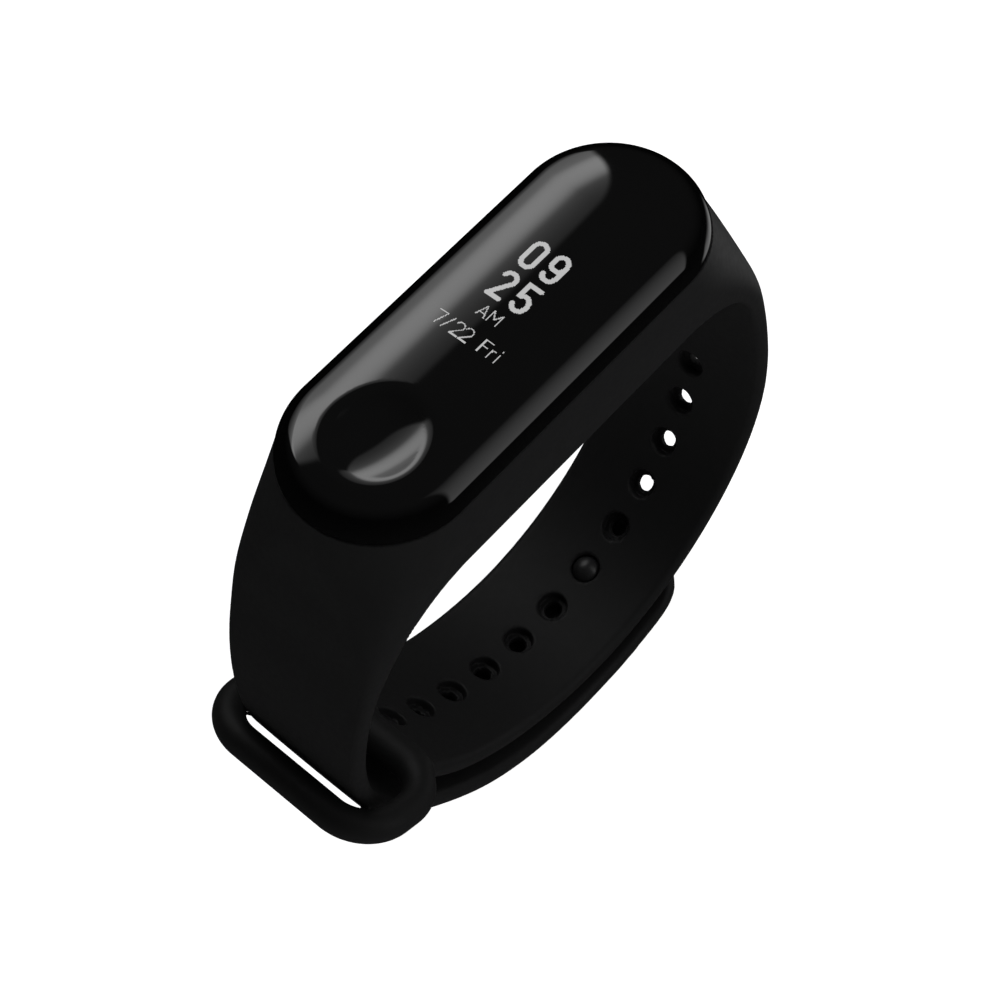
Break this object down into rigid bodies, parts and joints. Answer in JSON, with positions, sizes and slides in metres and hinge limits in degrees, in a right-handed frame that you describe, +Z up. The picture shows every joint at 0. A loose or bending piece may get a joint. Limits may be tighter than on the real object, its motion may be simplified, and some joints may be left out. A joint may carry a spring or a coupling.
{
  "type": "fitness tracker band",
  "caption": "Wrist-worn activity tracker: glossy domed capsule held in a one-piece silicone strap that closes with a stud, a row of holes and a keeper loop.",
  "frame": {"origin": "centre of the closed band's bounding box, at its lowest point", "axes": "+Z up through the display, +X along the capsule away from the touch dimple, +Y across the strap"},
  "size_m": [0.0631, 0.0232, 0.0638],
  "materials": {
    "strap_silicone": "matte black moulded silicone with a fine soft-touch grain",
    "cover_gloss": "polished black domed cover",
    "shell_plastic": "fine-textured black moulded plastic",
    "stud_gloss": "polished dark grey turned stud",
    "display_glass": "smooth black display glass",
    "clear_adhesive": "clear soft adhesive sheet",
    "copper_flex": "amber polyimide ribbon with copper tracks",
    "frame_plastic": "moulded black plastic",
    "board_laminate": "green solder-masked laminate",
    "chip_epoxy": "moulded black epoxy",
    "plated_steel": "thin nickel-plated steel",
    "tungsten": "sintered heavy metal",
    "cell_pouch": "satin aluminium-laminate pouch",
    "foam": "open-cell black foam",
    "seal_rubber": "soft sealing bead",
    "sensor_glass": "dark tinted window",
    "led": "clear-topped light source",
    "gold_contact": "gold-plated contact"
  },
  "bodies": {
    "strap": {"strap_cradle": "strap_silicone", "hole_arm_upper": "strap_silicone", "hole_arm_lower": "strap_silicone", "keeper_loop": "strap_silicone", "button_arm": "strap_silicone", "tail_root": "strap_silicone"},
    "tail_middle": {"tail_middle": "strap_silicone"},
    "tail_tip": {"tail_tip": "strap_silicone", "closing_stud": "stud_gloss", "closing_stud_cap": "stud_gloss"},
    "capsule": {"cover_lens": "cover_gloss", "lower_shell": "shell_plastic", "display_panel": "display_glass", "display_adhesive": "clear_adhesive", "touch_pad": "copper_flex", "display_ribbon": "copper_flex", "sensor_ribbon": "copper_flex", "inner_frame": "frame_plastic", "main_board": "board_laminate", "sensor_board": "board_laminate", "battery_protection_board": "board_laminate", "bluetooth_chip": "chip_epoxy", "flash_chip": "chip_epoxy", "motion_sensor_chip": "chip_epoxy", "touch_controller_chip": "chip_epoxy", "board_passives": "chip_epoxy", "heart_rate_photodiode": "chip_epoxy", "radio_shield": "plated_steel", "motor_can": "plated_steel", "motor_base": "plated_steel", "motor_shaft": "plated_steel", "battery_leads": "plated_steel", "battery": "cell_pouch", "motor_foam_pad": "foam", "cover_seal": "seal_rubber", "sensor_window": "sensor_glass", "heart_rate_led": "led", "charging_contacts": "gold_contact", "bluetooth_antenna": "gold_contact"},
    "motor_rotor": {"motor_rotor": "plated_steel", "motor_eccentric_weight": "tungsten"}
  },
  "joints": [
    {"name": "tail_tip_lift", "type": "hinge", "parent": "tail_middle", "child": "tail_tip", "pos_m": [0.00463, 0, 0.00001], "axis": [0, 1, 0], "range_deg": [0, 60], "stiffness_Nm_per_rad": 0.02, "springref_deg": -5.73},
    {"name": "tail_middle_lift", "type": "hinge", "parent": "strap", "child": "tail_middle", "pos_m": [-0.0124, 0, 0.00514], "axis": [0, 1, 0], "range_deg": [0, 12], "stiffness_Nm_per_rad": 0.02, "springref_deg": -1.15},
    {"name": "capsule_release", "type": "slide", "parent": "strap", "child": "capsule", "axis": [0, 0, 1], "range_m": [0, 0.015]},
    {"name": "motor_spin", "type": "hinge", "parent": "capsule", "child": "motor_rotor", "pos_m": [-0.01228, 0, 0.05545], "axis": [0, 0, 1], "continuous": true}
  ],
  "couplings": [
    {"joint": "tail_middle_lift", "follows": "tail_tip_lift", "ratio": 0.2}
  ]
}
